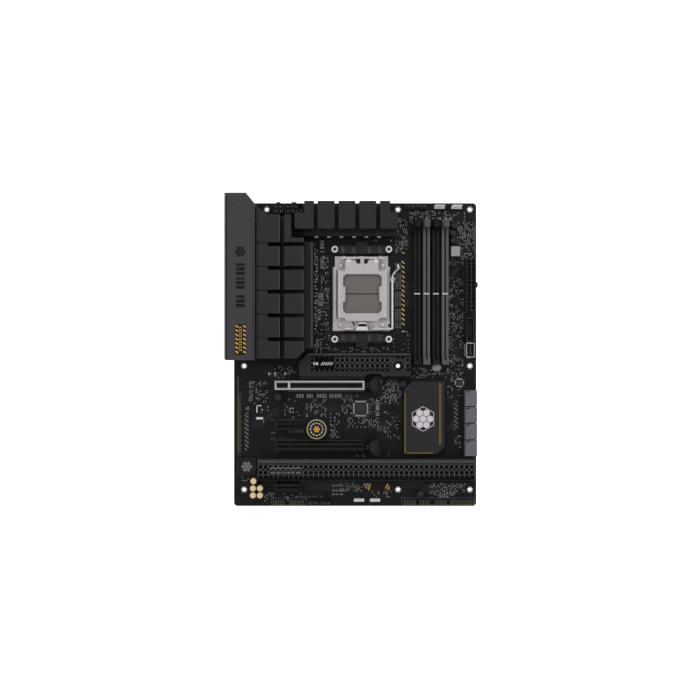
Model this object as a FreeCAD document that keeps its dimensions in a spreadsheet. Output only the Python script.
"""ATX motherboard as an assembly of separate pieces.

Frame: millimetres, +Z up from the underside of the board, +Y towards the processor end, +X away from the
rear ports. The origin is the axis of the rear lower mounting hole, which is the datum of the ATX outline.
"""

import FreeCAD, Part
import Sketcher
import os
import re

# Driving dimensions in millimetres, one spreadsheet cell each.
DIMENSIONS = {
    # Board outline and mounting holes (ATX)
    "board_left": -10.16,
    "board_right": 233.68,
    "board_bottom": -16.51,
    "board_top": 288.29,
    "board_thick": 1.6,
    "board_corner": 3.5,
    "mount_radius": 1.98,
    "mount_middle_x": 154.94,
    "mount_right_x": 227.33,
    "mount_middle_y": 124.46,
    "mount_top_y": 281.94,
    "mount_top_left_x": 22.86,
    # What stands under the board
    "under_depth": 2.0,
    "tail_width": 0.8,
    "tail_long": 1.6,
    "sink_screw_head": 2.8,
    "sink_screw_shank": 1.2,
    # Processor area: centre of the cooler screws, half spacings and backplate
    "cpu_x": 118.4,
    "cpu_y": 196.3,
    "cooler_half_x": 27.0,
    "cooler_half_y": 45.0,
    "backplate_half_x": 34.0,
    "backplate_half_y": 53.0,
    "backplate_corner": 6.0,
    "boss_radius": 2.3,
    "boss_high": 4.4,
    "boss_bore": 1.7,
    "boss_room": 0.2,
    # Socket housing and contact field
    "housing_left": 96.6,
    "housing_right": 140.3,
    "housing_bottom": 174.5,
    "housing_top": 218.9,
    "housing_high": 6.0,
    "housing_wall": 1.6,
    "housing_floor": 4.2,
    "field_high": 4.9,
    "field_room": 0.9,
    "field_gap": 1.2,
    # Socket frame, its screws, hinge ears and lever bearings
    "frame_left": 89.4,
    "frame_right": 146.8,
    "frame_bottom": 159.7,
    "frame_top": 232.6,
    "frame_neck": 224.0,
    "frame_step": 2.0,
    "frame_sheet": 1.2,
    "frame_room": 0.4,
    "rail_in": 1.5,
    "rail_thick": 1.4,
    "rail_top": 7.0,
    "frame_screw_upper_y": 225.6,
    "frame_screw_lower_y": 166.1,
    "frame_screw_left_x": 97.1,
    "frame_screw_right_x": 139.6,
    "frame_screw_radius": 3.1,
    "frame_screw_head": 1.4,
    "ear_width": 3.0,
    "ear_radius": 2.1,
    "bearing_left_x": 102.5,
    "bearing_right_x": 131.0,
    "bearing_width": 5.0,
    # Load plate
    "plate_left": 94.6,
    "plate_right": 143.5,
    "plate_bottom": 172.5,
    "plate_nose": 169.3,
    "plate_shoulder": 219.5,
    "plate_top": 230.0,
    "plate_under": 6.6,
    "plate_sheet": 1.2,
    "plate_rib": 1.0,
    "window_left": 99.7,
    "window_right": 138.2,
    "window_bottom": 177.2,
    "window_top": 216.2,
    "window_notch": 2.3,
    "window_notch_low": 189.0,
    "window_notch_high": 203.7,
    "hinge_y": 232.6,
    "hinge_radius": 1.1,
    "running_room": 0.1,
    # Load lever: a bent wire that turns about its lower straight stretch
    "wire_radius": 1.1,
    "lever_y": 161.8,
    "lever_z": 5.8,
    "lever_start_x": 100.2,
    "crank_start_x": 109.6,
    "crank_low_x": 115.4,
    "crank_high_x": 123.0,
    "crank_end_x": 128.6,
    "crank_y": 167.4,
    "lever_arm_x": 149.1,
    "lever_bend_y": 214.4,
    # Cooler brackets
    "bracket_bar_half": 23.4,
    "bracket_bar_high": 8.6,
    "bracket_end_radius": 4.3,
    "bracket_end_high": 5.0,
    "bracket_screw_head": 3.35,
    "bracket_screw_high": 2.4,
    "bracket_screw_shank": 1.5,
    # VRM heatsinks
    "vrm_base": 8.6,
    "vrm_left_x": 15.8,
    "vrm_right_x": 61.7,
    "vrm_bottom_y": 132.2,
    "vrm_left_top": 34.0,
    "vrm_groove": 3.8,
    "vrm_groove_pitch": 22.95,
    "vrm_groove_first": 150.95,
    "vrm_groove_start_x": 26.9,
    "vrm_channel_left": 38.8,
    "vrm_channel_right": 43.0,
    "vrm_flange_high": 2.0,
    "vrm_top_top": 30.0,
    "vrm_slot_first": 73.3,
    "vrm_slot_pitch": 20.2,
    "choke_size": 8.0,
    "choke_high": 6.0,
    # Rear cover, shield and ports
    "cover_left": -13.1,
    "cover_right": 15.0,
    "cover_bottom": 130.6,
    "cover_top": 292.0,
    "cover_underside": 3.2,
    "cover_high": 39.6,
    "cover_wall": 1.6,
    "shield_thick": 1.0,
    "shield_high": 40.8,
    "shield_low": -1.9,
    "port_front": -14.2,
    "port_room": 0.25,
    "usb_wide": 13.4,
    "usb_tall": 5.8,
    "jack_bore": 1.8,
    # Memory slots
    "dimm_first_x": 173.6,
    "dimm_pitch": 9.3,
    "dimm_half": 3.4,
    "dimm_bottom": 126.1,
    "dimm_body_top": 262.6,
    "dimm_top": 270.7,
    "dimm_high": 9.4,
    "dimm_groove": 1.5,
    "dimm_groove_floor": 3.6,
    "dimm_key_y": 196.6,
    "dimm_tower_high": 14.0,
    "dimm_cheek_high": 12.0,
    "dimm_latch_half": 1.8,
    "dimm_latch_high": 21.0,
    "dimm_pivot_y": 267.4,
    "dimm_pivot_z": 5.2,
    "dimm_pivot_radius": 0.9,
    # Expansion slots, 20.32 mm apart
    "slot_pitch": 20.32,
    "slot_first_y": 105.4,
    "slot_left": 32.6,
    "slot_right": 120.2,
    "short_slot_right": 56.4,
    "slot_half": 3.7,
    "slot_high": 12.8,
    "slot_groove": 1.8,
    "slot_groove_floor": 4.4,
    "slot_key_left": 44.9,
    "slot_key_right": 46.7,
    "shell_thick": 0.8,
    "paddle_left": 124.8,
    "paddle_right": 136.6,
    "paddle_half": 8.4,
    "latch_pivot_x": 123.2,
    "latch_pivot_z": 4.8,
    # M.2 heatsinks, sockets and latches
    "drive_sink_under": 5.4,
    "drive_sink_top": 11.6,
    "upper_sink_left": 55.8,
    "upper_sink_right": 167.0,
    "upper_sink_bottom": 114.0,
    "upper_sink_top": 137.4,
    "lower_sink_left": 14.2,
    "lower_sink_end": 230.6,
    "lower_sink_bottom": 10.7,
    "lower_sink_top": 32.4,
    "drive_socket_high": 3.4,
    "drive_latch_radius": 3.0,
    # Chipset
    "chipset_left": 160.0,
    "chipset_right": 200.9,
    "chipset_bottom": 36.7,
    "chipset_top": 109.6,
    "chipset_sink_under": 3.6,
    "chipset_sink_high": 11.6,
    # Connectors on the right edge
    "main_power_left": 221.9,
    "main_power_right": 231.7,
    "main_power_bottom": 179.4,
    "main_power_high": 14.6,
    "small_power_bottom": 276.3,
    "power_pitch": 4.2,
    "power_cavity": 3.4,
    "side_port_pitch": 16.6,
    "side_port_bottom": 34.7,
    # Pin headers
    "pin_pitch": 2.54,
    "pin_width": 0.64,
    "pin_high": 10.1,
    "base_high": 4.1,
    # Coin cell
    "cell_x": 73.2,
    "cell_y": 61.1,
    "cell_radius": 10.0,
    "cell_under": 2.8,
    "cell_thick": 3.2,
    # Audio
    "audio_cap_radius": 3.15,
    "audio_cap_high": 8.6,
}

NAME = re.compile(r"\b[a-z][a-z_]*[a-z]\b")

doc = FreeCAD.newDocument("Motherboard")
sheet = doc.addObject("Spreadsheet::Sheet", "dims")
nodes = {}


def fill_sheet():
    """Write each driving dimension and its name into the sheet."""
    for row, (name, number) in enumerate(DIMENSIONS.items(), start=1):
        sheet.set(f"A{row}", name)
        sheet.set(f"B{row}", str(number))
        sheet.setAlias(f"B{row}", name)
    doc.recompute()


def bound(text):
    """An expression whose names are read from the sheet."""
    return NAME.sub(lambda m: "dims." + m.group(0) if m.group(0) in DIMENSIONS else m.group(0), str(text))


def number(text):
    """The value that an expression over the sheet comes to."""
    return float(sheet.evalExpression(bound(text)))


def keep(name, piece):
    """Register a finished piece under the name of its node."""
    piece.Label = name
    nodes[name] = piece
    return piece


# ---------------------------------------------------------------- primitives and booleans


def block(x_range, y_range, z_range, name="block"):
    """A box between two expressions on each axis."""
    box = doc.addObject("Part::Box", name)
    spans = zip(("Length", "Width", "Height"), "xyz", (x_range, y_range, z_range))
    for side, axis, (low, high) in spans:
        box.setExpression(side, bound(f"({high}) - ({low})"))
        box.setExpression(f"Placement.Base.{axis}", bound(low))
    return box


def rod(centre, length, radius, axis="z", name="rod"):
    """A cylinder that starts at centre and runs along an axis."""
    cylinder = doc.addObject("Part::Cylinder", name)
    turns = {
        "x": FreeCAD.Rotation(FreeCAD.Vector(0, 1, 0), 90),
        "y": FreeCAD.Rotation(FreeCAD.Vector(1, 0, 0), -90),
        "z": FreeCAD.Rotation(),
    }
    cylinder.Placement = FreeCAD.Placement(FreeCAD.Vector(), turns[axis])
    for side, place in zip("xyz", centre):
        cylinder.setExpression(f"Placement.Base.{side}", bound(place))
    cylinder.setExpression("Height", bound(length))
    cylinder.setExpression("Radius", bound(radius))
    return cylinder


def fuse(pieces, name="joined"):
    """One solid made of pieces that touch."""
    joined = doc.addObject("Part::MultiFuse", name)
    joined.Shapes = pieces
    joined.Refine = True
    return joined


def group(pieces, name="group"):
    """Separate solids that share a node."""
    compound = doc.addObject("Part::Compound", name)
    compound.Links = pieces
    return compound


def cut(base, tools, name="cut"):
    """The base less every tool."""
    result = doc.addObject("Part::Cut", name)
    result.Base = base
    result.Tool = tools[0] if len(tools) == 1 else group(tools, "tools")
    result.Refine = True
    return result


# ---------------------------------------------------------------- sketched bodies


def sketch_on(body, plane, level="0"):
    """A sketch on one of the body's own origin planes, raised by an expression."""
    sketch = body.newObject("Sketcher::SketchObject", "sketch")
    support = next(item for item in body.Origin.OriginFeatures if item.Role == plane)
    sketch.AttachmentSupport = [(support, "")]
    sketch.MapMode = "FlatFace"
    sketch.setExpression("AttachmentOffset.Base.z", bound(level))
    return sketch


def add_point_rules(sketch, line, corner):
    """Hold the start of a line at the expressions of a corner."""
    for kind, place in zip(("DistanceX", "DistanceY"), corner):
        rule = sketch.addConstraint(Sketcher.Constraint(kind, -1, 1, line, 1, number(place)))
        sketch.setExpression(f"Constraints[{rule}]", bound(place))


def outline(sketch, corners):
    """A closed outline of straight runs through the corners."""
    spots = [FreeCAD.Vector(number(u), number(v), 0) for u, v in corners]
    first = sketch.GeometryCount
    count = len(spots)
    for index in range(count):
        run = Part.LineSegment(spots[index], spots[(index + 1) % count])
        sketch.addGeometry(run, False)
    for index in range(count):
        following = first + (index + 1) % count
        sketch.addConstraint(Sketcher.Constraint("Coincident", first + index, 2, following, 1))
    for index, corner in enumerate(corners):
        add_point_rules(sketch, first + index, corner)


def ring(sketch, centre, radius):
    """A circle held by its centre and radius."""
    u, v = centre
    spot = FreeCAD.Vector(number(u), number(v), 0)
    circle = sketch.addGeometry(Part.Circle(spot, FreeCAD.Vector(0, 0, 1), number(radius)), False)
    for kind, place in zip(("DistanceX", "DistanceY"), centre):
        rule = sketch.addConstraint(Sketcher.Constraint(kind, -1, 1, circle, 3, number(place)))
        sketch.setExpression(f"Constraints[{rule}]", bound(place))
    rule = sketch.addConstraint(Sketcher.Constraint("Radius", circle, number(radius)))
    sketch.setExpression(f"Constraints[{rule}]", bound(radius))


def rectangle(x_range, y_range):
    """The four corners between two expressions on each axis."""
    (left, right), (low, high) = x_range, y_range
    return [(left, low), (right, low), (right, high), (left, high)]


def new_body(name):
    return doc.addObject("PartDesign::Body", name)


def pad(body, loops, z_range, plane="XY_Plane"):
    """Raise closed outlines, and rings given as (centre, radius), from one level to another."""
    low, high = z_range
    sketch = sketch_on(body, plane, low)
    draw(sketch, loops)
    feature = body.newObject("PartDesign::Pad", "pad")
    feature.Profile = sketch
    feature.setExpression("Length", bound(f"({high}) - ({low})"))
    doc.recompute()
    return feature


def draw(sketch, loops):
    for loop in loops:
        if isinstance(loop, tuple):
            ring(sketch, *loop)
        else:
            outline(sketch, loop)


def pocket(body, loops, z_range, upwards=False):
    """Cut closed outlines and rings between two levels, down from the higher one or up from the lower one."""
    low, high = z_range
    before = body.Shape.Volume
    sketch = sketch_on(body, "XY_Plane", low if upwards else high)
    draw(sketch, loops)
    feature = body.newObject("PartDesign::Pocket", "pocket")
    feature.Profile = sketch
    feature.Reversed = upwards
    feature.setExpression("Length", bound(f"({high}) - ({low})"))
    doc.recompute()
    if body.Shape.Volume >= before:
        raise RuntimeError(f"a pocket of {body.Name} removed nothing")
    return feature


def edge_names(shape, wanted):
    """The names of the edges whose centre and direction meet a test."""
    names = []
    for index, edge in enumerate(shape.Edges, start=1):
        if edge.Curve.TypeId != "Part::GeomLine":
            continue
        if wanted(edge.CenterOfMass, edge.tangentAt(edge.FirstParameter)):
            names.append(f"Edge{index}")
    return names


def soften(body, feature, kind, size_text, wanted):
    """Fillet or chamfer the straight edges that meet a test."""
    result = body.newObject(f"PartDesign::{kind}", kind.lower())
    result.Base = (feature, edge_names(feature.Shape, wanted))
    result.setExpression("Radius" if kind == "Fillet" else "Size", bound(size_text))
    doc.recompute()
    return result


def upright(centre, direction):
    return abs(direction.z) > 0.999


def top_edges(level_text):
    """A test for the edges that lie in the face at a level."""
    level = number(level_text)
    return lambda centre, direction: abs(centre.z - level) < 0.001 and abs(direction.z) < 0.001


# ---------------------------------------------------------------- board and what is under it

MOUNT_HOLES = [
    ("0", "0"),
    ("mount_middle_x", "0"),
    ("mount_right_x", "0"),
    ("0", "mount_middle_y"),
    ("mount_middle_x", "mount_middle_y"),
    ("mount_right_x", "mount_middle_y"),
    ("mount_top_left_x", "mount_top_y"),
    ("mount_middle_x", "mount_top_y"),
    ("mount_right_x", "mount_top_y"),
]
COOLER_SCREWS = [
    (f"cpu_x + {side_x} * cooler_half_x", f"cpu_y + {side_y} * cooler_half_y")
    for side_x in (-1, 1)
    for side_y in (-1, 1)
]
# Places of the posts that carry the heatsinks, each with a screw from under the board.
VRM_LEFT_POSTS = [("21", "139"), ("21", "265"), ("56", "244")]
VRM_TOP_POSTS = [("56", "262"), ("150", "262")]
CHIPSET_POSTS = [("165", "42"), ("196", "102"), ("195", "50"), ("165", "96")]
SINK_POSTS = VRM_LEFT_POSTS + VRM_TOP_POSTS + CHIPSET_POSTS
SINK_SCREW_ROOM = "sink_screw_shank + 0.15"
# Expansion slots by place, counted down from the upper long slot.
LONG_SLOTS = (0, 3)
SHORT_SLOTS = (2, 5)


def make_pcb():
    body = new_body("pcb")
    sheet_outline = rectangle(("board_left", "board_right"), ("board_bottom", "board_top"))
    base = pad(body, [sheet_outline], ("0", "board_thick"))
    soften(body, base, "Fillet", "board_corner", upright)
    pocket(body, [(hole, "mount_radius") for hole in MOUNT_HOLES], ("0", "board_thick"))
    pocket(body, [(hole, "boss_radius + boss_room") for hole in COOLER_SCREWS], ("0", "board_thick"))
    pocket(body, [(hole, SINK_SCREW_ROOM) for hole in SINK_POSTS], ("0", "board_thick"))
    keep("pcb", body)


def make_cpu_backplate():
    """A steel plate with a middle opening and four threaded bosses that come up through the board."""
    body = new_body("backplate_sheet")
    edge = rectangle(
        ("cpu_x - backplate_half_x", "cpu_x + backplate_half_x"),
        ("cpu_y - backplate_half_y", "cpu_y + backplate_half_y"),
    )
    base = pad(body, [edge], ("-under_depth", "0"))
    soften(body, base, "Fillet", "backplate_corner", upright)
    opening = rectangle(("cpu_x - 14", "cpu_x + 14"), ("cpu_y - 15", "cpu_y + 15"))
    pocket(body, [opening], ("-under_depth", "0"))
    bosses = [rod((x, y, "-0.5"), "boss_high + 0.5", "boss_radius") for x, y in COOLER_SCREWS]
    bores = [rod((x, y, "-under_depth"), "under_depth + boss_high", "boss_bore") for x, y in COOLER_SCREWS]
    keep("cpu_backplate", cut(fuse([body] + bosses), bores, "cpu_backplate"))


def make_heatsink_screws():
    """Screws whose heads stand under the board and whose shanks go up into the heatsinks' posts."""
    screws = []
    for x, y in SINK_POSTS:
        head = rod((x, y, "-under_depth"), "under_depth", "sink_screw_head")
        recess = rod((x, y, "-under_depth - 1"), "2", "1.1")
        shank = rod((x, y, "-0.4"), "5", "sink_screw_shank")
        screws.append(cut(fuse([head, shank]), [recess]))
    keep("heatsink_screws", group(screws, "heatsink_screws"))


def on_posts(pieces, places, level, name):
    """Fuse a heatsink's pieces with posts up to its underside, and bore them for the screws."""
    posts = [rod((x, y, "board_thick"), f"{level} - board_thick + 0.5", "2.4") for x, y in places]
    bores = [rod((x, y, "board_thick - 1"), "4.4", SINK_SCREW_ROOM) for x, y in places]
    return cut(fuse(pieces + posts), bores, name)


def tail_grid(left, low, columns, pitch_x, rows, pitch_y):
    """Solder tails under a connector, as short square posts on a grid."""
    tails = []
    for column in range(columns):
        for row in range(rows):
            x = f"({left}) + {column} * ({pitch_x})"
            y = f"({low}) + {row} * ({pitch_y})"
            spans = [(f"{place} - tail_width / 2", f"{place} + tail_width / 2") for place in (x, y)]
            tails.append(block(*spans, ("-tail_long", "0"), "tail"))
    return tails


def make_solder_tails():
    tails = []
    for places, columns in ((LONG_SLOTS, 28), (SHORT_SLOTS, 8)):
        for place in places:
            low = f"slot_first_y - {place} * slot_pitch - 1.5"
            tails += tail_grid("slot_left + 2", low, columns, "3", 2, "3")
    for index in range(4):
        left = f"dimm_first_x + {index} * dimm_pitch - 1.5"
        tails += tail_grid(left, "dimm_bottom + 4", 2, "3", 27, "5")
    low = "main_power_bottom + 2.4"
    tails += tail_grid("main_power_left + 2.6", low, 2, "power_pitch", 12, "power_pitch")
    tails += tail_grid("33.2", "small_power_bottom + 2.6", 2, "power_pitch", 2, "power_pitch")
    tails += tail_grid("44.6", "small_power_bottom + 2.6", 4, "power_pitch", 2, "power_pitch")
    tails += tail_grid("-5", "136", 3, "4", 24, "6")
    tails += tail_grid("225", "side_port_bottom + 3", 2, "4", 13, "5")
    tails += tail_grid("30", "-12.5", 9, "pin_pitch * 1.5", 2, "pin_pitch")
    tails += tail_grid("162", "-12.5", 18, "pin_pitch * 1.5", 2, "pin_pitch")
    keep("solder_tails", group(tails, "solder_tails"))


# ---------------------------------------------------------------- processor socket


def make_socket_housing():
    outer = block(
        ("housing_left", "housing_right"), ("housing_bottom", "housing_top"), ("board_thick", "housing_high")
    )
    inner = block(
        ("housing_left + housing_wall", "housing_right - housing_wall"),
        ("housing_bottom + housing_wall", "housing_top - housing_wall"),
        ("housing_floor", "housing_high + 1"),
    )
    keep("socket_housing", cut(outer, [inner], "socket_housing"))


def make_socket_contact_field():
    """Two fields of spring contacts, one each side of the middle bar."""
    side = "housing_wall + field_room"
    x_span = (f"housing_left + {side}", f"housing_right - ({side})")
    middle = "(housing_bottom + housing_top) / 2"
    spans = [
        (f"housing_bottom + {side}", f"{middle} - field_gap / 2"),
        (f"{middle} + field_gap / 2", f"housing_top - ({side})"),
    ]
    fields = [block(x_span, y_span, ("housing_floor", "field_high")) for y_span in spans]
    keep("socket_contact_field", group(fields, "socket_contact_field"))


FRAME_SCREWS = [
    (x, y)
    for x in ("frame_screw_left_x", "frame_screw_right_x")
    for y in ("frame_screw_lower_y", "frame_screw_upper_y")
]
FRAME_FACE = "board_thick + frame_sheet"
HINGE_Z = "plate_under + plate_sheet / 2"


def hinge_ear(x_from):
    """A rounded ear that holds the load plate's hinge rod."""
    round_end = rod((x_from, "hinge_y", HINGE_Z), "ear_width", "ear_radius", "x")
    stem = block(
        (x_from, f"{x_from} + ear_width"),
        ("hinge_y - ear_radius", "hinge_y + ear_radius"),
        (FRAME_FACE, HINGE_Z),
    )
    return [round_end, stem]


def lever_bearing(x_from):
    """A curled bearing that the lever's wire turns in."""
    round_end = rod((x_from, "lever_y", "lever_z"), "bearing_width", "ear_radius", "x")
    stem = block(
        (x_from, f"{x_from} + bearing_width"),
        ("lever_y - ear_radius", "lever_y + ear_radius"),
        (FRAME_FACE, "lever_z"),
    )
    return [round_end, stem]


def make_socket_frame():
    """The stamped frame: sheet, side rails, hinge ears, lever bearings and the lever's clip."""
    body = new_body("frame_sheet_body")
    edge = [
        ("frame_left", "frame_bottom"),
        ("frame_right", "frame_bottom"),
        ("frame_right", "frame_neck"),
        ("frame_right - frame_step", "frame_neck"),
        ("frame_right - frame_step", "frame_top + 2.1"),
        ("frame_left + frame_step", "frame_top + 2.1"),
        ("frame_left + frame_step", "frame_neck"),
        ("frame_left", "frame_neck"),
    ]
    pad(body, [edge], ("board_thick", FRAME_FACE))
    opening = rectangle(
        ("housing_left - frame_room", "housing_right + frame_room"),
        ("housing_bottom - frame_room", "housing_top + frame_room"),
    )
    pocket(body, [opening], ("board_thick", FRAME_FACE))
    rails = []
    for start in ("frame_left + rail_in", "frame_right - rail_in - rail_thick"):
        rails.append(block((start, f"{start} + rail_thick"), ("171", "222"), (FRAME_FACE, "rail_top")))
    ears = hinge_ear("plate_left + 4.6") + hinge_ear("plate_right - ear_width - 4.6")
    bearings = lever_bearing("bearing_left_x") + lever_bearing("bearing_right_x")
    tab = block(("112.2", "124.6"), ("frame_bottom", "164"), (FRAME_FACE, "4.4"))
    foot = block(("frame_right", "lever_arm_x + 2.4"), ("208.9", "213.1"), ("board_thick", "4.2"))
    cheeks = [
        block((x_from, f"{x_from} + 0.8"), ("209.4", "212.6"), ("4.2", "7.6"))
        for x_from in ("lever_arm_x - 2.2", "lever_arm_x + 1.4")
    ]
    solid = fuse([body, tab, foot] + rails + ears + bearings + cheeks)
    hinge_bore = rod(("plate_left", "hinge_y", HINGE_Z), "60", "hinge_radius + running_room", "x")
    lever_bore = rod(("bearing_left_x - 1", "lever_y", "lever_z"), "36", "wire_radius + running_room", "x")
    keep("socket_frame", cut(solid, [hinge_bore, lever_bore], "socket_frame"))


def make_socket_frame_screws():
    """Low screw heads with a recess, seated on the frame."""
    screws = []
    for x, y in FRAME_SCREWS:
        head = rod((x, y, FRAME_FACE), "frame_screw_head", "frame_screw_radius")
        recess = rod((x, y, f"{FRAME_FACE} + 0.5"), "2", "1.2")
        screws.append(cut(head, [recess]))
    keep("socket_frame_screws", group(screws, "socket_frame_screws"))


def make_load_plate():
    """The hinged plate that presses on the processor's lid."""
    body = new_body("load_plate_sheet")
    edge = [
        ("103", "plate_nose"),
        ("134", "plate_nose"),
        ("136", "plate_bottom"),
        ("plate_right", "plate_bottom"),
        ("plate_right", "plate_shoulder"),
        ("135", "plate_shoulder"),
        ("135", "plate_top"),
        ("134", "plate_top"),
        ("134", "hinge_y"),
        ("127", "hinge_y"),
        ("127", "plate_top"),
        ("124", "plate_top"),
        ("124", "226.6"),
        ("120.7", "226.6"),
        ("120.7", "hinge_y + 1.6"),
        ("117.1", "hinge_y + 1.6"),
        ("117.1", "226.6"),
        ("113.6", "226.6"),
        ("113.6", "plate_top"),
        ("110", "plate_top"),
        ("110", "hinge_y"),
        ("103.4", "hinge_y"),
        ("103.4", "plate_top"),
        ("102", "plate_top"),
        ("102", "plate_shoulder"),
        ("plate_left", "plate_shoulder"),
        ("plate_left", "plate_bottom"),
        ("101", "plate_bottom"),
    ]
    upper = "plate_under + plate_sheet"
    pad(body, [edge], ("plate_under", upper))
    window = [
        ("window_left", "window_bottom"),
        ("window_right", "window_bottom"),
        ("window_right", "window_notch_low"),
        ("window_right - window_notch", "window_notch_low"),
        ("window_right - window_notch", "window_notch_high"),
        ("window_right", "window_notch_high"),
        ("window_right", "window_top"),
        ("window_left", "window_top"),
        ("window_left", "window_notch_high"),
        ("window_left + window_notch", "window_notch_high"),
        ("window_left + window_notch", "window_notch_low"),
        ("window_left", "window_notch_low"),
    ]
    opening = pocket(body, [window], ("plate_under", upper))
    corner_low = number("window_left") - 0.1
    corner_high = number("window_right") + 0.1
    middle = (number("window_bottom") + number("window_top")) / 2
    reach = (number("window_top") - number("window_bottom")) / 2

    def window_corner(centre, direction):
        inside = corner_low < centre.x < corner_high
        return upright(centre, direction) and inside and abs(abs(centre.y - middle) - reach) < 0.1

    soften(body, opening, "Fillet", "3.2", window_corner)
    ribs = [
        block((start, f"{start} + 1.1"), ("174", "218.6"), (upper, f"{upper} + plate_rib"))
        for start in ("plate_left", "plate_right - 1.1")
    ]
    hinge_long = "plate_right - plate_left - 7.2"
    hinge = rod(("plate_left + 3.6", "hinge_y", HINGE_Z), hinge_long, "hinge_radius", "x")
    keep("load_plate", fuse([body, hinge] + ribs, "load_plate"))


def make_load_lever():
    """Bent wire: pivot, crank, pivot, long arm and finger hook."""
    body = new_body("load_lever")
    route = [
        ("lever_start_x", "lever_y"),
        ("crank_start_x", "lever_y"),
        ("crank_low_x", "crank_y"),
        ("crank_high_x", "crank_y"),
        ("crank_end_x", "lever_y"),
        ("lever_arm_x", "lever_y"),
        ("lever_arm_x", "lever_bend_y"),
        ("lever_arm_x + 2.2", "218.3"),
        ("lever_arm_x + 6.2", "222.1"),
        ("lever_arm_x + 5.4", "226"),
    ]
    spine = sketch_on(body, "XY_Plane", "lever_z")
    spots = [FreeCAD.Vector(number(x), number(y), 0) for x, y in route]
    for start, end in zip(spots, spots[1:]):
        spine.addGeometry(Part.LineSegment(start, end), False)
    last = len(spots) - 2
    for index in range(last):
        spine.addConstraint(Sketcher.Constraint("Coincident", index, 2, index + 1, 1))
    for index, corner in enumerate(route[:-1]):
        add_point_rules(spine, index, corner)
    for kind, place in zip(("DistanceX", "DistanceY"), route[-1]):
        rule = spine.addConstraint(Sketcher.Constraint(kind, -1, 1, last, 2, number(place)))
        spine.setExpression(f"Constraints[{rule}]", bound(place))
    section = sketch_on(body, "YZ_Plane", "lever_start_x")
    ring(section, ("lever_y", "lever_z"), "wire_radius")
    pipe = body.newObject("PartDesign::AdditivePipe", "pipe")
    pipe.Profile = section
    pipe.Spine = (spine, [f"Edge{index + 1}" for index in range(last + 1)])
    pipe.Transition = "Round corner"
    doc.recompute()
    keep("load_lever", body)


def cooler_bracket(side):
    """A plastic bar with a hook for the cooler's clip and an eye round each backplate boss."""
    y_screw = f"cpu_y + {side} * cooler_half_y"
    near = f"{y_screw} - {side} * 4.8"
    far = f"{y_screw} + {side} * 3.6"
    hook = f"{y_screw} + {side} * 7.6"
    low, high = (near, far) if side > 0 else (far, near)
    hook_low, hook_high = (far, hook) if side > 0 else (hook, far)
    half = "bracket_bar_half"
    bar = block((f"cpu_x - {half}", f"cpu_x + {half}"), (low, high), ("board_thick", "bracket_bar_high"))
    lug = block(("cpu_x - 5.5", "cpu_x + 5.5"), (hook_low, hook_high), ("3", "7"))
    eyes = []
    bores = []
    for turn in (-1, 1):
        x = f"cpu_x + {turn} * cooler_half_x"
        eyes.append(rod((x, y_screw, "board_thick"), "bracket_end_high - board_thick", "bracket_end_radius"))
        bores.append(rod((x, y_screw, "board_thick - 1"), "bracket_end_high + 1", "boss_radius + boss_room"))
        x_range = ("cpu_x - cooler_half_x", f"cpu_x - {half}")
        if turn > 0:
            x_range = (f"cpu_x + {half}", "cpu_x + cooler_half_x")
        y_range = (f"{y_screw} - 3.4", f"{y_screw} + 3.4")
        eyes.append(block(x_range, y_range, ("board_thick", "bracket_end_high")))
    return cut(fuse([bar, lug] + eyes), bores)


def make_cooler_brackets():
    keep("cooler_brackets", group([cooler_bracket(1), cooler_bracket(-1)], "cooler_brackets"))


def make_cooler_bracket_screws():
    """Bright round heads on shanks that go down into the backplate's bosses."""
    screws = []
    for x, y in COOLER_SCREWS:
        head = rod((x, y, "bracket_end_high"), "bracket_screw_high", "bracket_screw_head")
        shank = rod((x, y, "-1"), "bracket_end_high + 1", "bracket_screw_shank")
        slots = [
            block((f"{x} - {long}", f"{x} + {long}"), (f"{y} - {wide}", f"{y} + {wide}"), ("6", "8"))
            for long, wide in ((1.8, 0.45), (0.45, 1.8))
        ]
        screws.append(cut(fuse([head, shank]), [fuse(slots)]))
    keep("cooler_bracket_screws", group(screws, "cooler_bracket_screws"))


# ---------------------------------------------------------------- power stage cooling


def make_vrm_heatsink_left():
    """Tall block in two columns, parted by a channel and by cross grooves."""
    body = new_body("vrm_left_body")
    edge = [
        ("vrm_left_x", "vrm_bottom_y"),
        ("vrm_right_x - 6.8", "vrm_bottom_y"),
        ("vrm_right_x", "vrm_bottom_y + 6.8"),
        ("vrm_right_x", "249.1"),
        ("49.7", "249.1"),
        ("49.7", "271.5"),
        ("25.4", "271.5"),
        ("vrm_left_x", "280.8"),
    ]
    pad(body, [edge], ("vrm_base", "vrm_left_top"))
    channel = rectangle(("vrm_channel_left", "vrm_channel_right"), ("vrm_bottom_y - 1", "280"))
    pocket(body, [channel], ("22", "vrm_left_top"))
    half = "vrm_groove / 2"
    for index in range(5):
        middle = f"vrm_groove_first + {index} * vrm_groove_pitch"
        far_side = f"{middle} + {half}"
        groove = rectangle(("vrm_groove_start_x", "vrm_right_x + 1"), (f"{middle} - {half}", far_side))
        pocket(body, [groove], ("14", "vrm_left_top"))
        line = rectangle(("vrm_left_x - 1", "vrm_groove_start_x + 0.5"), (f"{middle} + 0.9", far_side))
        pocket(body, [line], ("vrm_left_top - 1.2", "vrm_left_top"))
    flange = block(("vrm_right_x - 2", "69.9"), ("142", "248.6"), ("vrm_base", "vrm_base + vrm_flange_high"))
    pedestal = block(("36", "46"), ("138", "246"), ("3.4", "vrm_base + 1"))
    name = "vrm_heatsink_left"
    keep(name, on_posts([body, flange, pedestal], VRM_LEFT_POSTS, "vrm_base", name))


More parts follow.
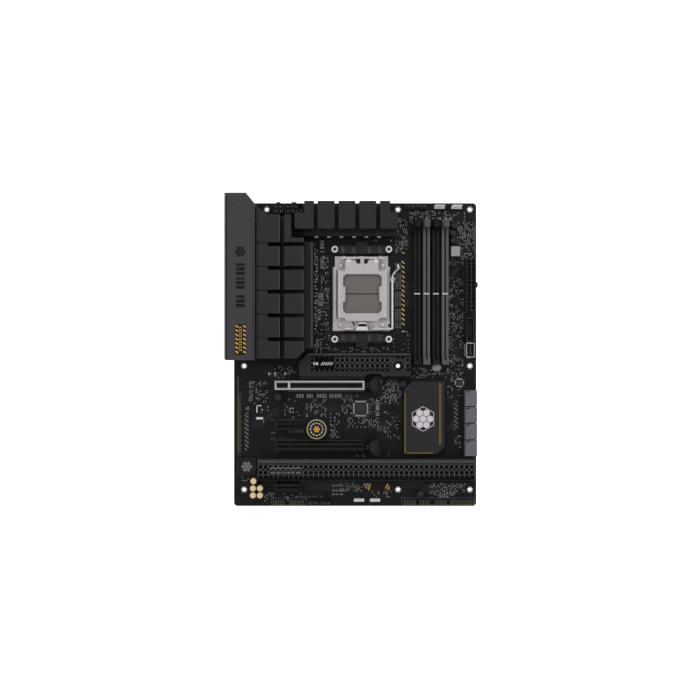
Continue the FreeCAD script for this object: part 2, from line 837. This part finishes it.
def make_vrm_heatsink_top():
    body = new_body("vrm_top_body")
    edge = [
        ("52.6", "258.5"),
        ("153.1", "258.5"),
        ("153.1", "274.1"),
        ("145.6", "274.1"),
        ("145.6", "285.5"),
        ("62", "285.5"),
        ("62", "273.4"),
        ("52.6", "273.4"),
    ]
    pad(body, [edge], ("vrm_base", "vrm_top_top"))
    for index in range(4):
        middle = f"vrm_slot_first + {index} * vrm_slot_pitch"
        groove = rectangle((f"{middle} - vrm_groove / 2", f"{middle} + vrm_groove / 2"), ("258", "286"))
        pocket(body, [groove], ("12", "vrm_top_top"))
    flange = block(("51.4", "153.1"), ("253.7", "259"), ("vrm_base", "vrm_base + vrm_flange_high"))
    pedestal = block(("66", "144"), ("275.5", "284"), ("3.4", "vrm_base + 1"))
    name = "vrm_heatsink_top"
    keep(name, on_posts([body, flange, pedestal], VRM_TOP_POSTS, "vrm_base", name))


def make_vrm_thermal_pads():
    """Soft pads between the heatsinks and the chokes and power stages."""
    choke_top = "board_thick + choke_high"
    pads = [
        block(("48", "57"), ("141", "238"), (choke_top, "vrm_base")),
        block(("36.5", "45.5"), ("141", "243"), ("2.6", "3.4")),
        block(("64", "144"), ("262.5", "271"), (choke_top, "vrm_base")),
        block(("66.5", "143.5"), ("276", "283.5"), ("2.6", "3.4")),
    ]
    keep("vrm_thermal_pads", group(pads, "vrm_thermal_pads"))


CHOKE_SPAN = ("board_thick", "board_thick + choke_high")


def make_power_chokes():
    """Chokes under the heatsinks, and the bright one near the top right corner."""
    chokes = []
    for index in range(8):
        y_from = f"142 + {index} * 12"
        chokes.append(block(("48.5", "48.5 + choke_size"), (y_from, f"{y_from} + choke_size"), CHOKE_SPAN))
    for index in range(6):
        x_from = f"65 + {index} * 13.5"
        chokes.append(block((x_from, f"{x_from} + choke_size"), ("262.8", "262.8 + choke_size"), CHOKE_SPAN))
    chokes.append(block(("207.7", "216.5"), ("234.3", "244.3"), CHOKE_SPAN))
    keep("power_chokes", group(chokes, "power_chokes"))


def make_integrated_circuits():
    """Power stages, controller packages and the chipset package, all in black epoxy."""
    stage_span = ("board_thick", "board_thick + 1")
    chips = []
    for index in range(8):
        y_from = f"143 + {index} * 12"
        chips.append(block(("38.5", "43.5"), (y_from, f"{y_from} + 6"), stage_span))
    for index in range(6):
        x_from = f"68 + {index} * 13"
        chips.append(block((x_from, f"{x_from} + 6"), ("277", "282.5"), stage_span))
    chips.append(block(("111.1", "123.5"), ("75.1", "87.9"), ("board_thick", "board_thick + 1.4")))
    chips.append(block(("213", "220.4"), ("104.4", "110.8"), stage_span))
    chips.append(block(("190", "197.4"), ("120.4", "125.2"), stage_span))
    chips.append(block(("168.5", "191.5"), ("61", "84"), ("board_thick", "2.8")))
    keep("integrated_circuits", group(chips, "integrated_circuits"))


def capacitor(x, y, radius, high):
    """A can with a narrow foot ring, standing on the board."""
    foot = rod((x, y, "board_thick"), "0.8", f"({radius}) - 0.25")
    can = rod((x, y, "board_thick + 0.8"), f"({high}) - 0.8", radius)
    return fuse([foot, can])


def make_capacitors():
    black = [
        ("210.8", "265", "3"),
        ("209.8", "257", "3"),
        ("210.1", "250.2", "3"),
        ("34.5", "93.4", "3.8"),
        ("159.5", "106.4", "3.2"),
        ("177.1", "-3.1", "3.2"),
    ]
    cans = [capacitor(x, y, radius, "7") for x, y, radius in black]
    keep("board_capacitors", group(cans, "board_capacitors"))
    spots = [("10.4", "9.8"), ("9.9", "2.6"), ("16.8", "2.6"), ("9.9", "-4.4"), ("16.8", "-4.4")]
    audio = [capacitor(x, y, "audio_cap_radius", "audio_cap_high") for x, y in spots]
    keep("audio_capacitors", group(audio, "audio_capacitors"))


# ---------------------------------------------------------------- rear cover and ports


def make_io_cover():
    """A hollow cover over the rear ports, open below and towards the shield."""
    body = new_body("io_cover")
    edge = [
        ("cover_left", "cover_bottom"),
        ("cover_right", "cover_bottom"),
        ("cover_right", "cover_top - 10.5"),
        ("cover_right - 8.6", "cover_top"),
        ("cover_left", "cover_top"),
    ]
    pad(body, [edge], ("cover_underside", "cover_high"))
    hollow = [
        ("cover_left - 1", "cover_bottom + cover_wall"),
        ("cover_right - cover_wall", "cover_bottom + cover_wall"),
        ("cover_right - cover_wall", "cover_top - 11.4"),
        ("cover_right - 9.5", "cover_top - cover_wall"),
        ("cover_left - 1", "cover_top - cover_wall"),
    ]
    pocket(body, [hollow], ("cover_underside", "cover_high - cover_wall"), upwards=True)
    keep("io_cover", body)


# Each port block: name, y from, y to, z top, depth end on X.
PORT_BLOCKS = {
    "display": ("262.6", "280.4", "21", "6"),
    "usb_upper": ("245.6", "260.4", "33.6", "4"),
    "usb_middle": ("228.6", "243.4", "33.6", "4"),
    "lan": ("209.4", "226.2", "31", "9"),
    "usb_lower": ("192.4", "207.2", "33.6", "4"),
    "audio": ("136.4", "163.6", "33", "8"),
}


def port_block(place):
    """The outer block of a port, from the shield's face inwards."""
    low, high, top, depth = PORT_BLOCKS[place]
    return block(("port_front", depth), (low, high), ("board_thick", top), place)


def usb_cavities(place, levels):
    """Socket mouths of a stack, each with a tongue left standing in it."""
    low, high = PORT_BLOCKS[place][:2]
    middle = f"(({low}) + ({high})) / 2"
    mouths = []
    for level in levels:
        y_range = (f"{middle} - usb_wide / 2", f"{middle} + usb_wide / 2")
        mouth = block(("port_front - 1", "port_front + 9.5"), y_range, (level, f"{level} + usb_tall"))
        y_tongue = (f"{middle} - usb_wide / 2 + 1.1", f"{middle} + usb_wide / 2 - 1.1")
        tongue = block(("port_front + 0.8", "port_front + 10"), y_tongue, (f"{level} + 3.4", f"{level} + 5"))
        mouths.append(cut(mouth, [tongue]))
    return mouths


def make_usb_stacks():
    levels = ("2.6", "10.4", "18.2", "26")
    stacks = []
    for place in ("usb_upper", "usb_middle"):
        stacks.append(cut(port_block(place), usb_cavities(place, levels)))
    low, high = PORT_BLOCKS["usb_lower"][:2]
    middle = f"(({low}) + ({high})) / 2"
    oval = block(("port_front - 1", "port_front + 6"), (f"{middle} - 4.3", f"{middle} + 4.3"), ("5", "8.2"))
    mouths = usb_cavities("usb_lower", levels[1:])
    stacks.append(cut(port_block("usb_lower"), mouths + [oval]))
    keep("usb_stacks", group(stacks, "usb_stacks"))


def make_lan_usb_stack():
    """A network jack above two USB sockets."""
    low, high = PORT_BLOCKS["lan"][:2]
    middle = f"(({low}) + ({high})) / 2"
    depth = ("port_front - 1", "port_front + 12.5")
    jack = block(depth, (f"{middle} - 5.9", f"{middle} + 5.9"), ("19.6", "27.6"))
    clip = block(depth, (f"{middle} - 2.8", f"{middle} + 2.8"), ("17.6", "19.8"))
    mouths = usb_cavities("lan", ("2.6", "10.2"))
    keep("lan_usb_stack", cut(port_block("lan"), mouths + [fuse([jack, clip])], "lan_usb_stack"))


def make_display_ports():
    """Two display sockets, one above the other."""
    low, high = PORT_BLOCKS["display"][:2]
    middle = f"(({low}) + ({high})) / 2"
    mouths = []
    for level, wide, tall in (("3.6", 14.0, 4.4), ("12.6", 16.0, 5.2)):
        y_range = (f"{middle} - {wide / 2}", f"{middle} + {wide / 2}")
        mouth = block(("port_front - 1", "port_front + 8"), y_range, (level, f"{level} + {tall}"))
        y_tongue = (f"{middle} - {wide / 2 - 1.5}", f"{middle} + {wide / 2 - 1.5}")
        tongue = block(("port_front + 1", "port_front + 9"), y_tongue, (f"{level} + 1.6", f"{level} + 2.7"))
        mouths.append(cut(mouth, [tongue]))
    keep("display_ports", cut(port_block("display"), mouths, "display_ports"))


AUDIO_JACKS = [("143.4", "7.6"), ("143.4", "17.2"), ("143.4", "26.8"), ("156.6", "7.6"), ("156.6", "17.2")]


def make_audio_jacks():
    bores = [rod(("port_front - 1", y, z), "15", "jack_bore", "x") for y, z in AUDIO_JACKS]
    optical = block(("port_front - 1", "port_front + 0.9"), ("152.9", "160.3"), ("22.8", "30.6"))
    keep("audio_jacks", cut(port_block("audio"), bores + [optical], "audio_jacks"))


def make_bios_button():
    """A push button that sticks out of the shield and its switch housing on the board."""
    housing = block(("-9.5", "-2"), ("282", "289.4"), ("3.2", "10.4"))
    well = rod(("-10", "285.7", "6.8"), "4.2", "2", "x")
    stand = block(("-9.5", "-2"), ("282", "287.8"), ("board_thick", "3.2"))
    keep("bios_button_housing", cut(fuse([housing, stand]), [well], "bios_button_housing"))
    keep("bios_button", rod(("-15.2", "285.7", "6.8"), "7.9", "1.75", "x", "bios_button"))


def make_io_shield():
    """A thin plate with a window for each port."""
    back = "cover_left - 0.2"
    face = f"{back} - shield_thick"
    plate = block((face, back), ("131.2", "291.4"), ("shield_low", "shield_high"))
    cuts = ("port_front - 2", "0")
    windows = []
    for low, high, top, _depth in PORT_BLOCKS.values():
        y_range = (f"{low} - port_room", f"{high} + port_room")
        windows.append(block(cuts, y_range, ("board_thick - port_room", f"{top} + port_room")))
    windows.append(rod(("port_front - 2", "285.7", "6.8"), "8", "2.1", "x"))
    keep("io_shield", cut(plate, windows, "io_shield"))


# ---------------------------------------------------------------- memory slots


PIVOT_BORE = "dimm_pivot_radius + running_room"


def make_dimm_slot(index):
    """A long slot with a fixed tower at its lower end and two cheeks that hold the latch."""
    x = f"dimm_first_x + {index} * dimm_pitch"
    wide = (f"{x} - dimm_half", f"{x} + dimm_half")
    bar = block(wide, ("dimm_bottom", "dimm_body_top"), ("board_thick", "dimm_high"))
    tower = block(wide, ("dimm_bottom", "dimm_bottom + 7"), ("board_thick", "dimm_tower_high"))
    inner = "dimm_latch_half + 0.3"
    cheeks = [
        block(side, ("dimm_body_top - 0.5", "dimm_top"), ("board_thick", "dimm_cheek_high"))
        for side in ((f"{x} - dimm_half", f"{x} - ({inner})"), (f"{x} + {inner}", f"{x} + dimm_half"))
    ]
    sill = block(wide, ("dimm_body_top - 0.5", "dimm_top"), ("board_thick", "2.4"))
    groove_x = (f"{x} - dimm_groove / 2", f"{x} + dimm_groove / 2")
    groove_levels = ("dimm_groove_floor", "dimm_tower_high + 1")
    grooves = [
        block(groove_x, ("dimm_bottom + 4.6", "dimm_key_y - 1"), groove_levels),
        block(groove_x, ("dimm_key_y + 1", "dimm_body_top + 1"), groove_levels),
    ]
    pivot = rod((f"{x} - dimm_half - 1", "dimm_pivot_y", "dimm_pivot_z"), "9", PIVOT_BORE, "x")
    name = f"dimm_slot_{index + 1}"
    keep(name, cut(fuse([bar, tower, sill] + cheeks), grooves + [pivot], name))


def make_dimm_latch(index):
    """A rocking latch with a finger head, on a pin that turns in the slot's cheeks."""
    x = f"dimm_first_x + {index} * dimm_pitch"
    narrow = (f"{x} - dimm_latch_half", f"{x} + dimm_latch_half")
    stem = block(narrow, ("264.4", "270.2"), ("3.8", "14.6"))
    head = block((f"{x} - 2.9", f"{x} + 2.9"), ("262.1", "268.7"), ("14.4", "dimm_latch_high"))
    nose = block((f"{x} - 1", f"{x} + 1"), ("260.9", "262.9"), ("15", "18.6"))
    pin = rod((f"{x} - dimm_half", "dimm_pivot_y", "dimm_pivot_z"), "dimm_half * 2", "dimm_pivot_radius", "x")
    grip = []
    for y in ("263.7", "265.3", "266.9"):
        grip.append(block((f"{x} - 4", f"{x} + 4"), (y, f"{y} + 0.7"), ("20.4", "22")))
    name = f"dimm_latch_{index + 1}"
    keep(name, cut(fuse([stem, head, nose, pin]), grip, name))


# ---------------------------------------------------------------- expansion slots


def slot_body(index, right):
    """A slot's plastic body with its card groove, key and end wall."""
    y = f"slot_first_y - {index} * slot_pitch"
    body = block(("slot_left", right), (f"{y} - slot_half", f"{y} + slot_half"), ("board_thick", "slot_high"))
    groove_y = (f"{y} - slot_groove / 2", f"{y} + slot_groove / 2")
    levels = ("slot_groove_floor", "slot_high + 1")
    grooves = [
        block(("slot_left + 1.6", "slot_key_left"), groove_y, levels),
        block(("slot_key_right", f"{right} - 1.6"), groove_y, levels),
    ]
    return cut(body, grooves)


def latch_bracket(index):
    """Two cheeks past the slot's end that hold the latch's pin."""
    y = f"slot_first_y - {index} * slot_pitch"
    cheeks = [
        block(("slot_right - 0.5", "124.6"), y_range, ("board_thick", "7.4"))
        for y_range in ((f"{y} - slot_half", f"{y} - 2.4"), (f"{y} + 2.4", f"{y} + slot_half"))
    ]
    bore = rod(("latch_pivot_x", f"{y} - 5", "latch_pivot_z"), "10", "1 + running_room", "y")
    return cut(group(cheeks), [bore])


def make_long_slots():
    for name, index in zip(("pcie_x16_slot_upper", "pcie_x16_slot_lower"), LONG_SLOTS):
        keep(name, fuse([slot_body(index, "slot_right"), latch_bracket(index)], name))


def make_short_slots():
    slots = [slot_body(index, "short_slot_right") for index in SHORT_SLOTS]
    keep("pcie_x1_slots", group(slots, "pcie_x1_slots"))


def make_slot_shield():
    """A folded metal shell round the upper long slot, with a bridge over the key."""
    y = "slot_first_y"
    reach = "slot_half + shell_thick"
    outer = block(
        ("slot_left - shell_thick", "slot_right + shell_thick"),
        (f"{y} - ({reach})", f"{y} + {reach}"),
        ("3", "slot_high + 0.3"),
    )
    inner = block(
        ("slot_left - 0.05", "slot_right + 0.05"),
        (f"{y} - slot_half - 0.05", f"{y} + slot_half + 0.05"),
        ("2", "12.85"),
    )
    mouth = block(("slot_left + 1.4", "slot_right - 1.4"), (f"{y} - 2.5", f"{y} + 2.5"), ("12", "14"))
    latch_room = block(("slot_right", "slot_right + 3"), (f"{y} - 4", f"{y} + 4"), ("2", "9.4"))
    key_span = ("slot_key_left", "slot_key_right")
    key = block(key_span, (f"{y} - 3", f"{y} + 3"), ("12.85", "slot_high + 0.3"))
    shell = cut(outer, [inner, mouth, latch_room])
    keep("pcie_x16_shield", fuse([shell, key], "pcie_x16_shield"))


def make_slot_latch(name, index, half_text, right):
    """A card latch: hook at the slot's end, pin, and a flared finger paddle."""
    y = f"slot_first_y - {index} * slot_pitch"
    body = new_body(f"{name}_paddle")
    taper = "3.2"
    paddle = [
        ("paddle_left - 1.2", f"{y} - 2"),
        ("paddle_left + 1.4", f"{y} - {taper}"),
        ("paddle_left + 4.6", f"{y} - {half_text} + 1"),
        ("paddle_left + 7", f"{y} - {half_text}"),
        (right, f"{y} - {half_text}"),
        (right, f"{y} + {half_text}"),
        ("paddle_left + 7", f"{y} + {half_text}"),
        ("paddle_left + 4.6", f"{y} + {half_text} - 1"),
        ("paddle_left + 1.4", f"{y} + {taper}"),
        ("paddle_left - 1.2", f"{y} + 2"),
    ]
    pad(body, [paddle], ("9.4", "11.2"))
    hook_x = ("latch_pivot_x - 1.6", "latch_pivot_x + 1.8")
    hook = block(hook_x, (f"{y} - 2.05", f"{y} + 2.05"), ("3.4", "12.4"))
    rim_y = (f"{y} - {half_text} + 0.8", f"{y} + {half_text} - 0.8")
    rim = block((f"{right} - 2.4", right), rim_y, ("11", "12"))
    pin = rod(("latch_pivot_x", f"{y} - 3.5", "latch_pivot_z"), "7", "1", "y")
    keep(name, fuse([body, hook, pin, rim], name))


# ---------------------------------------------------------------- M.2 drives and chipset


def make_upper_drive_sink():
    """Plate over the upper drive, with a cut corner, a bay for the slot latch and a hole round the screw."""
    body = new_body("upper_sink_body")
    edge = [
        ("upper_sink_left", "upper_sink_bottom"),
        ("121.4", "upper_sink_bottom"),
        ("124.4", "116.4"),
        ("136.4", "116.4"),
        ("138.4", "upper_sink_bottom"),
        ("upper_sink_right", "upper_sink_bottom"),
        ("upper_sink_right", "upper_sink_top"),
        ("64.5", "upper_sink_top"),
        ("upper_sink_left", "128.7"),
    ]
    levels = ("drive_sink_under", "drive_sink_top")
    top = pad(body, [edge], levels)
    soften(body, top, "Chamfer", "0.5", top_edges("drive_sink_top"))
    pocket(body, [(("mount_middle_x", "mount_middle_y"), "4.6")], levels)
    lip_x = ("upper_sink_left + 0.6", "120.6")
    lip = block(lip_x, ("111.2", "upper_sink_bottom + 1"), ("drive_sink_under", "8"))
    keep("m2_heatsink_upper", fuse([body, lip], "m2_heatsink_upper"))


def make_lower_drive_sink():
    """Long plate over the two lower drives."""
    body = new_body("m2_heatsink_lower")
    edge = [
        ("lower_sink_left", "lower_sink_bottom"),
        ("lower_sink_end", "lower_sink_bottom"),
        ("lower_sink_end", "lower_sink_top"),
        ("lower_sink_left", "lower_sink_top"),
    ]
    top = pad(body, [edge], ("drive_sink_under", "drive_sink_top"))
    soften(body, top, "Chamfer", "0.5", top_edges("drive_sink_top"))
    keep("m2_heatsink_lower", body)


# Drive bays: middle of the socket, then the place of the latch on X.
DRIVE_BAYS = {
    "1": ("64.6", "125.4", "145.4"),
    "2": ("110.5", "21.6", "28"),
    "3": ("206", "21.6", "123.5"),
}
DRIVE_POSTS = [
    ("58", "117"),
    ("58", "126"),
    ("164.4", "117"),
    ("164.4", "134.4"),
    ("18", "14"),
    ("18", "29"),
    ("117.4", "14"),
    ("117.4", "29"),
    ("226", "14"),
    ("226", "29"),
]


def make_drive_sockets():
    """Edge sockets that face their latches, and the posts that the heatsinks rest on."""
    pieces = []
    for x, y, end in DRIVE_BAYS.values():
        levels = ("board_thick", "board_thick + drive_socket_high")
        shell = block((f"{x} - 4.2", f"{x} + 4.2"), (f"{y} - 9.5", f"{y} + 9.5"), levels)
        mouth_x = (f"{x} + 1", f"{x} + 5") if number(end) > number(x) else (f"{x} - 5", f"{x} - 1")
        mouth = block(mouth_x, (f"{y} - 8.6", f"{y} + 8.6"), ("3.2", "4.3"))
        pieces.append(cut(shell, [mouth]))
    for x, y in DRIVE_POSTS:
        pieces.append(rod((x, y, "board_thick"), "drive_sink_under - board_thick", "1.6"))
    keep("m2_sockets", group(pieces, "m2_sockets"))


def make_drive_latch(number_text):
    """A quarter-turn latch that holds the free end of a drive."""
    _x, y, end = DRIVE_BAYS[number_text]
    post = rod((end, y, "board_thick"), "2.4", "1.6")
    disc = rod((end, y, "4"), "0.9", "drive_latch_radius")
    flat = block((f"{end} + 1.4", f"{end} + 4"), (f"{y} - 4", f"{y} + 4"), ("3.9", "5"))
    lever = block((f"{end} - 4.4", f"{end} - 2.4"), (f"{y} - 0.8", f"{y} + 0.8"), ("4", "4.9"))
    name = f"m2_latch_{number_text}"
    keep(name, fuse([post, cut(disc, [flat]), lever], name))


def make_chipset_heatsink():
    body = new_body("chipset_sink_body")
    edge = [
        ("chipset_left", "chipset_bottom"),
        ("chipset_right - 7.5", "chipset_bottom"),
        ("chipset_right", "chipset_bottom + 7.5"),
        ("chipset_right", "chipset_top"),
        ("chipset_left + 8.2", "chipset_top"),
        ("chipset_left", "chipset_top - 8.2"),
    ]
    top = pad(body, [edge], ("chipset_sink_under", "chipset_sink_high"))
    soften(body, top, "Chamfer", "0.9", top_edges("chipset_sink_high"))
    die = block(("171", "189"), ("63.5", "81.5"), ("2.8", "chipset_sink_under + 1"))
    name = "chipset_heatsink"
    keep(name, on_posts([body, die], CHIPSET_POSTS, "chipset_sink_under", name))


# ---------------------------------------------------------------- connectors


def power_block(left, bottom, columns, rows, high):
    """A power connector's shroud with its square cavities."""
    width = f"({columns}) * power_pitch + 1.2"
    height = f"({rows}) * power_pitch + 1.2"
    shroud = block((left, f"{left} + {width}"), (bottom, f"{bottom} + {height}"), ("board_thick", high))
    cavities = []
    for column in range(columns):
        for row in range(rows):
            x = f"{left} + 0.6 + {column + 0.5} * power_pitch"
            y = f"{bottom} + 0.6 + {row + 0.5} * power_pitch"
            spans = [(f"{place} - power_cavity / 2", f"{place} + power_cavity / 2") for place in (x, y)]
            cavity = block(*spans, ("5", f"{high} + 1"))
            spans = [(f"{place} - 0.6", f"{place} + 0.6") for place in (x, y)]
            pin = block(*spans, ("4", f"{high} - 3.4"))
            cavities.append(cut(cavity, [pin]))
    return cut(shroud, cavities)


def make_main_power():
    shroud = power_block("main_power_left", "main_power_bottom", 2, 12, "main_power_high")
    ramp = block(("main_power_right - 0.4", "233.2"), ("202.6", "207.4"), ("9", "main_power_high"))
    keep("atx_power_connector", fuse([shroud, ramp], "atx_power_connector"))


def make_processor_power():
    """A four-way and an eight-way connector, each with a latch ramp."""
    ramp_y = ("small_power_bottom + 9", "small_power_bottom + 10.8")
    ramp_z = ("9", "main_power_high")
    small = power_block("30.8", "small_power_bottom", 2, 2, "main_power_high")
    small_ramp = block(("33.6", "37.6"), ramp_y, ramp_z)
    large = power_block("42", "small_power_bottom", 4, 2, "main_power_high")
    large_ramp = block(("48.6", "53.4"), ramp_y, ramp_z)
    pair = [fuse([small, small_ramp]), fuse([large, large_ramp])]
    keep("eps_connectors", group(pair, "eps_connectors"))


def make_side_ports():
    """Four drive data ports that open over the board's right edge."""
    ports = []
    for index in range(4):
        y = f"side_port_bottom + {index} * side_port_pitch"
        shell = block(("221.2", "233.4"), (y, f"{y} + 15.6"), ("board_thick", "9.2"))
        mouth = block(("225.6", "234"), (f"{y} + 1.8", f"{y} + 13.8"), ("3.8", "7.2"))
        blade = block(("225", "232.6"), (f"{y} + 3", f"{y} + 12.6"), ("4.9", "6"))
        foot = block(("225", "232.6"), (f"{y} + 11.4", f"{y} + 12.6"), ("4.9", "6.8"))
        ports.append(cut(shell, [cut(mouth, [fuse([blade, foot])])]))
    keep("sata_ports", group(ports, "sata_ports"))


def make_usb_headers():
    """The shrouded nineteen-pin header and the metal-shelled front header beside it."""
    shroud = block(("222.4", "230"), ("149", "172.8"), ("board_thick", "11"))
    inside = block(("223.4", "229"), ("150.2", "171.6"), ("4", "12"))
    notch = block(("222", "224"), ("158.8", "163"), ("6", "12"))
    pins = []
    for x in ("224.9", "226.9"):
        for row in range(9):
            y = f"152.6 + {row} * 2"
            pins.append(block((x, f"{x} + pin_width"), (y, f"{y} + pin_width"), ("3.5", "9.6")))
    keep("usb3_header", fuse([cut(shroud, [inside, notch])] + pins, "usb3_header"))
    shell = block(("222.4", "230.4"), ("133.4", "147.4"), ("board_thick", "11.4"))
    mouth = block(("223.2", "229.6"), ("134.2", "146.6"), ("4", "12"))
    tongue = block(("225.8", "227"), ("135.6", "145.2"), ("3.5", "10.4"))
    keep("usbc_header", fuse([cut(shell, [mouth]), tongue], "usbc_header"))


# Pin headers along the board's lower edge and elsewhere: left, bottom, columns, rows.
HEADERS = [
    ("28.8", "-14.6", 5, 2),
    ("45.6", "-14.6", 6, 2),
    ("160.2", "-14.6", 5, 2),
    ("176", "-14.6", 4, 2),
    ("191.2", "-14.6", 5, 2),
    ("206.4", "-14.6", 10, 2),
]
FAN_HEADERS = [("64.6", "-14.4"), ("76.6", "-14.4"), ("161.4", "282.4"), ("172.4", "282.4")]
WHITE_HEADERS = [("191.4", "282.4"), ("208.6", "282.4"), ("110.6", "-11.6"), ("126.6", "-11.6")]


def header_pins(left, bottom, columns, rows):
    """Square pins on a grid, standing out of the header's base."""
    pins = []
    for column in range(columns):
        for row in range(rows):
            x = f"{left} + {column + 0.5} * pin_pitch"
            y = f"{bottom} + {row + 0.5} * pin_pitch"
            spans = [(f"{place} - pin_width / 2", f"{place} + pin_width / 2") for place in (x, y)]
            pins.append(block(*spans, ("base_high", "pin_high"), "pin"))
    return pins


def make_pin_headers():
    bases = []
    pins = []
    for left, bottom, columns, rows in HEADERS:
        x_range = (left, f"{left} + {columns} * pin_pitch")
        bases.append(block(x_range, (bottom, f"{bottom} + {rows} * pin_pitch"), ("board_thick", "base_high")))
        pins += header_pins(left, bottom, columns, rows)
    for left, bottom in FAN_HEADERS:
        x_range = (left, f"{left} + 4 * pin_pitch")
        base = block(x_range, (bottom, f"{bottom} + 3.2"), ("board_thick", "base_high"))
        wall_y = (f"{bottom} + 3.2", f"{bottom} + 4.4")
        wall = block((f"{left} + 1", f"{left} + 7.2"), wall_y, ("board_thick", "9.6"))
        bases.append(fuse([base, wall]))
        pins += header_pins(left, f"{bottom} + 0.4", 4, 1)
    keep("header_bases", group(bases, "header_bases"))
    keep("header_pins", group(pins, "header_pins"))


def make_white_headers():
    """Three-pin lighting headers with a gap for the missing fourth pin."""
    headers = []
    for left, bottom in WHITE_HEADERS:
        x_range = (left, f"{left} + 4 * pin_pitch")
        base = block(x_range, (bottom, f"{bottom} + 2.2"), ("board_thick", "base_high"))
        wall = block(x_range, (f"{bottom} + 2.2", f"{bottom} + 3"), ("board_thick", "8.8"))
        pins = []
        for column in (0, 1, 3):
            x = f"{left} + {column} * pin_pitch + 0.95"
            y = f"{bottom} + 0.8"
            pins.append(block((x, f"{x} + pin_width"), (y, f"{y} + pin_width"), ("base_high", "pin_high")))
        headers.append(fuse([base, wall] + pins))
    keep("argb_headers", group(headers, "argb_headers"))


# ---------------------------------------------------------------- coin cell and audio shield


def make_coin_cell():
    """A flat cell in a low round holder with two side clips."""
    centre = ("cell_x", "cell_y")
    floor = rod((*centre, "board_thick"), "cell_under - board_thick", "cell_radius + 1.4")
    wall = rod((*centre, "cell_under"), "1.6", "cell_radius + 1.4")
    room = rod((*centre, "cell_under"), "3", "cell_radius + 0.35")
    holder = fuse([floor, cut(wall, [room])], "coin_cell_holder")
    keep("coin_cell_holder", holder)
    body = new_body("coin_cell")
    pad(body, [(centre, "cell_radius")], ("cell_under", "cell_under + cell_thick"))
    face = "cell_under + cell_thick"
    moat = [(centre, "cell_radius - 0.6"), (centre, "cell_radius - 0.9")]
    pocket(body, moat, (f"{face} - 0.25", face))
    keep("coin_cell", body)


def make_audio_shield():
    """A square cover over the sound chip."""
    shell = block(("-6.7", "12.6"), ("14.6", "32.6"), ("board_thick", "4.6"))
    hollow = block(("-5.9", "11.8"), ("15.4", "31.8"), ("1", "3.8"))
    keep("audio_shield", cut(shell, [hollow], "audio_shield"))


# ---------------------------------------------------------------- build, check and write


def build():
    fill_sheet()
    make_pcb()
    make_cpu_backplate()
    make_solder_tails()
    make_heatsink_screws()
    make_socket_housing()
    make_socket_contact_field()
    make_socket_frame()
    make_socket_frame_screws()
    make_load_plate()
    make_load_lever()
    make_cooler_brackets()
    make_cooler_bracket_screws()
    make_vrm_heatsink_left()
    make_vrm_heatsink_top()
    make_vrm_thermal_pads()
    make_power_chokes()
    make_integrated_circuits()
    make_capacitors()
    make_io_cover()
    make_io_shield()
    make_usb_stacks()
    make_lan_usb_stack()
    make_display_ports()
    make_audio_jacks()
    make_bios_button()
    for index in range(4):
        make_dimm_slot(index)
        make_dimm_latch(index)
    make_long_slots()
    make_short_slots()
    make_slot_shield()
    make_slot_latch("pcie_x16_latch_upper", LONG_SLOTS[0], "paddle_half", "paddle_right")
    make_slot_latch("pcie_x16_latch_lower", LONG_SLOTS[1], "paddle_half - 0.6", "paddle_right")
    make_upper_drive_sink()
    make_lower_drive_sink()
    make_drive_sockets()
    for bay in DRIVE_BAYS:
        make_drive_latch(bay)
    make_chipset_heatsink()
    make_main_power()
    make_processor_power()
    make_side_ports()
    make_usb_headers()
    make_pin_headers()
    make_white_headers()
    make_coin_cell()
    make_audio_shield()
    doc.recompute()


def check():
    """Stop if any object failed or any piece has no valid shape."""
    for item in doc.Objects:
        if "Invalid" in item.State or "Error" in item.State:
            raise RuntimeError(f"{item.Label} failed: {item.State}")
    for name, piece in nodes.items():
        if piece.Shape.isNull() or not piece.Shape.isValid() or not piece.Shape.Solids:
            raise RuntimeError(f"{name} has no valid shape")


def write():
    os.makedirs("parts", exist_ok=True)
    for name, piece in nodes.items():
        piece.Shape.exportStep(os.path.join("parts", f"{name}.step"))
        span = piece.Shape.BoundBox
        print(f"{name}: {len(piece.Shape.Solids)} solids, x {span.XMin:.1f} to {span.XMax:.1f}, "
              f"y {span.YMin:.1f} to {span.YMax:.1f}, z {span.ZMin:.1f} to {span.ZMax:.1f}")
    print(len(nodes), "nodes")


build()
check()
write()
